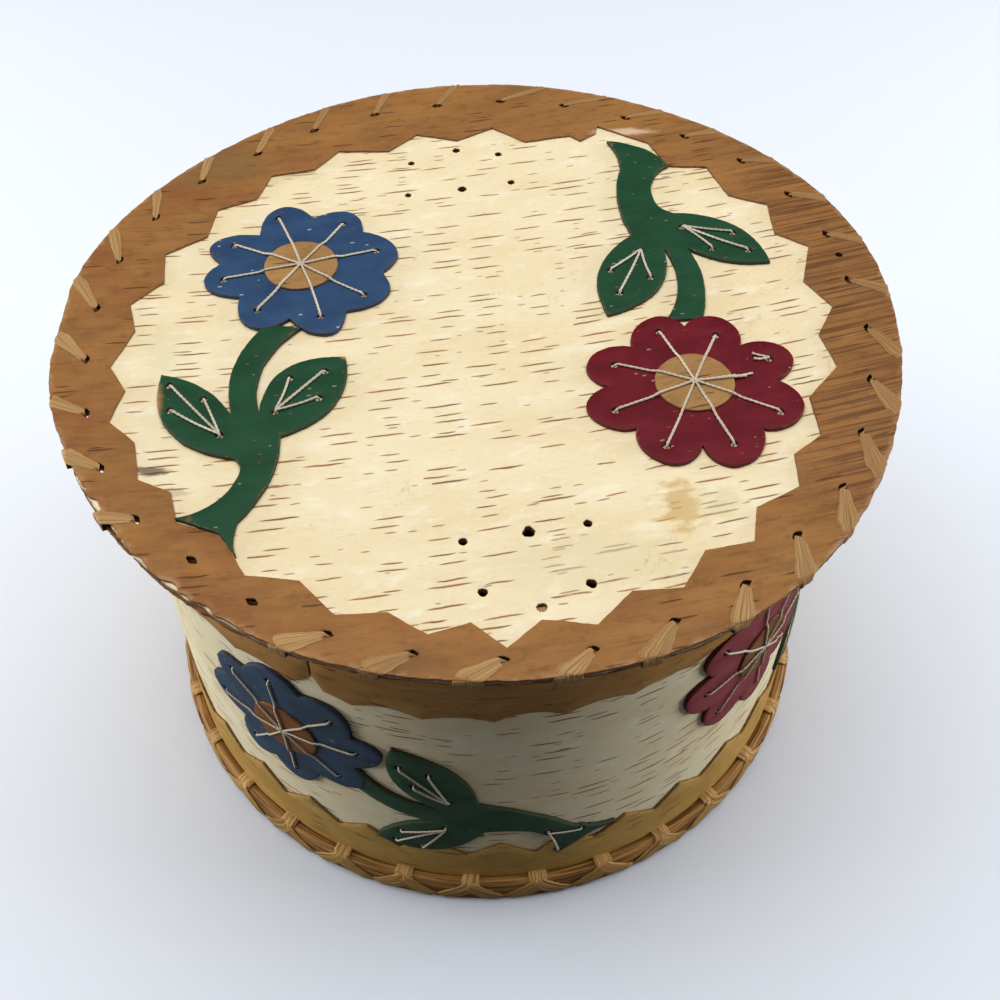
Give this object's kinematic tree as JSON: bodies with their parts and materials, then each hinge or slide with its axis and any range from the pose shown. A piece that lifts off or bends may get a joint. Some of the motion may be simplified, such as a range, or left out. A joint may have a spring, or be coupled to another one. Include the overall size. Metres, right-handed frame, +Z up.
{
  "type": "birch bark box",
  "caption": "Round birch bark box with a loose overlapping lid, zigzag bark bands, split-root lashing and sewn cut-bark flowers.",
  "frame": {"origin": "centre of the underside of the bottom disc, on the surface the box stands on", "axes": "+Z up along the box's axis, -Y towards the pictured front, +X to the right seen from the front"},
  "size_m": [0.2816, 0.2816, 0.1748],
  "materials": {
    "white_bark": "dry outer birch bark with lenticels",
    "brown_bark": "smooth inner birch bark, satin",
    "tan_bark": "smooth inner birch bark, satin",
    "ochre_bark": "smooth inner birch bark, matt",
    "withe": "split and bent withe",
    "split_root": "split spruce root, fibrous",
    "blue_bark": "bark with worn blue paint",
    "red_bark": "bark with worn dark red paint",
    "green_bark": "bark with worn dark green paint",
    "thread": "twisted sewing thread"
  },
  "bodies": {
    "box": {"bottom_disc": "brown_bark", "wall_sheet": "white_bark", "lower_band": "ochre_bark", "upper_band": "brown_bark", "foot_hoop": "withe", "foot_lashing": "split_root", "mouth_lashing": "split_root", "seam_stitches": "split_root", "wall_blue_petals": "blue_bark", "wall_blue_disc": "tan_bark", "wall_blue_threads": "thread", "wall_blue_spray": "green_bark", "wall_blue_leaf_threads": "thread", "wall_red_petals": "red_bark", "wall_red_disc": "tan_bark", "wall_red_threads": "thread", "wall_red_spray": "green_bark", "wall_red_leaf_threads": "thread"},
    "lid": {"lid_under_sheet": "brown_bark", "lid_top_sheet": "white_bark", "lid_border": "brown_bark", "lid_edge_lashing": "split_root", "lid_collar": "brown_bark", "lid_blue_petals": "blue_bark", "lid_blue_disc": "tan_bark", "lid_blue_threads": "thread", "lid_blue_spray": "green_bark", "lid_blue_leaf_threads": "thread", "lid_red_petals": "red_bark", "lid_red_disc": "tan_bark", "lid_red_threads": "thread", "lid_red_spray": "green_bark", "lid_red_leaf_threads": "thread", "collar_stitches": "split_root"}
  },
  "joints": [
    {"name": "lid_lift", "type": "slide", "parent": "box", "child": "lid", "axis": [0, 0, 1], "range_m": [0, 0.12]}
  ]
}
